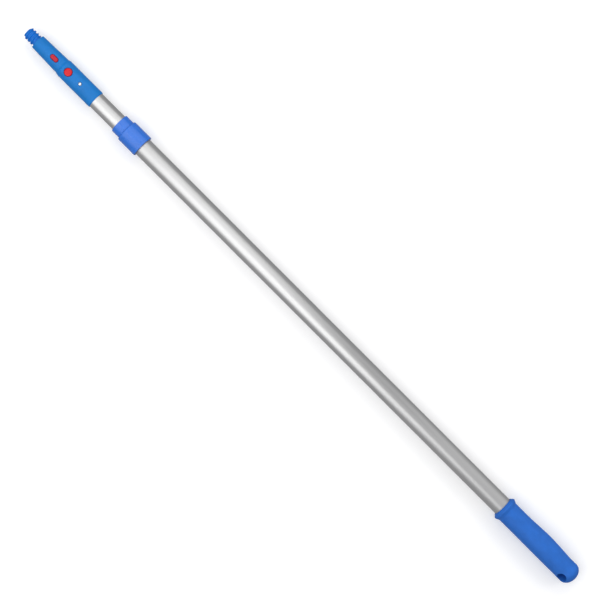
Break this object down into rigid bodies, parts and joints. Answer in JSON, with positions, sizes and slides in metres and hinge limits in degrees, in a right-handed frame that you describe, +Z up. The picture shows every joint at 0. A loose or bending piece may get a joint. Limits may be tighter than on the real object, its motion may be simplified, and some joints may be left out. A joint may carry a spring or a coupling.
{
  "type": "roller extension pole",
  "caption": "Two-section telescopic aluminium pole for paint rollers: quick-release cone with a threaded tip, twist lock, and a moulded grip with a hang hole.",
  "frame": {"origin": "on the floor, under the middle of the pole's collapsed length", "axes": "+X along the pole from the threaded tip to the grip, +Z up, with the release button facing up"},
  "size_m": [1.085, 0.0378, 0.0379],
  "materials": {
    "cone_plastic": "moulded blue nylon",
    "lock_plastic": "moulded blue, semi-gloss",
    "grip_plastic": "satin moulded blue",
    "catch_plastic": "moulded red",
    "tube": "satin drawn tube",
    "pin_steel": "bright",
    "spring_steel": "plain wire",
    "black_nylon": "moulded",
    "grey_nylon": "moulded",
    "bumper_rubber": "matt"
  },
  "bodies": {
    "outer_section": {"outer_tube": "tube", "grip": "grip_plastic", "outer_end_plug": "black_nylon", "butt_bumper": "bumper_rubber", "clamp_ferrule": "grey_nylon", "ferrule_rivet_left": "pin_steel", "ferrule_rivet_right": "pin_steel"},
    "guide": {"guide_ring": "grey_nylon"},
    "inner_section": {"inner_tube": "tube", "inner_end_plug": "black_nylon", "cone_body": "cone_plastic", "threaded_tip": "cone_plastic", "cone_core": "black_nylon", "cone_pin": "pin_steel", "lever_pivot": "pin_steel", "lever_spring": "spring_steel"},
    "catch": {"catch_lever": "catch_plastic", "release_button": "catch_plastic"},
    "lock_nut": {"lock_nut": "lock_plastic"},
    "lock_collet": {"lock_collet": "lock_plastic"}
  },
  "joints": [
    {"name": "extend", "type": "slide", "parent": "outer_section", "child": "guide", "axis": [-1, 0, 0], "range_m": [0, 0.745]},
    {"name": "inner_turn", "type": "hinge", "parent": "guide", "child": "inner_section", "pos_m": [0, 0, 0.01893], "axis": [1, 0, 0], "continuous": true},
    {"name": "catch_press", "type": "hinge", "parent": "inner_section", "child": "catch", "pos_m": [-0.4436, 0, 0.02393], "axis": [0, -1, 0], "range_deg": [0, 3.5], "stiffness_Nm_per_rad": 1.5, "springref_deg": -3.44, "deforming": ["lever_spring"]},
    {"name": "lock_turn", "type": "hinge", "parent": "outer_section", "child": "lock_nut", "pos_m": [-0.3315, 0, 0.01893], "axis": [1, 0, 0], "range_deg": [0, 180]},
    {"name": "collet_travel", "type": "slide", "parent": "outer_section", "child": "lock_collet", "axis": [-1, 0, 0], "range_m": [0, 0.00121]}
  ],
  "couplings": [
    {"joint": "collet_travel", "follows": "lock_turn", "m_per_rad": 0.00038197}
  ]
}
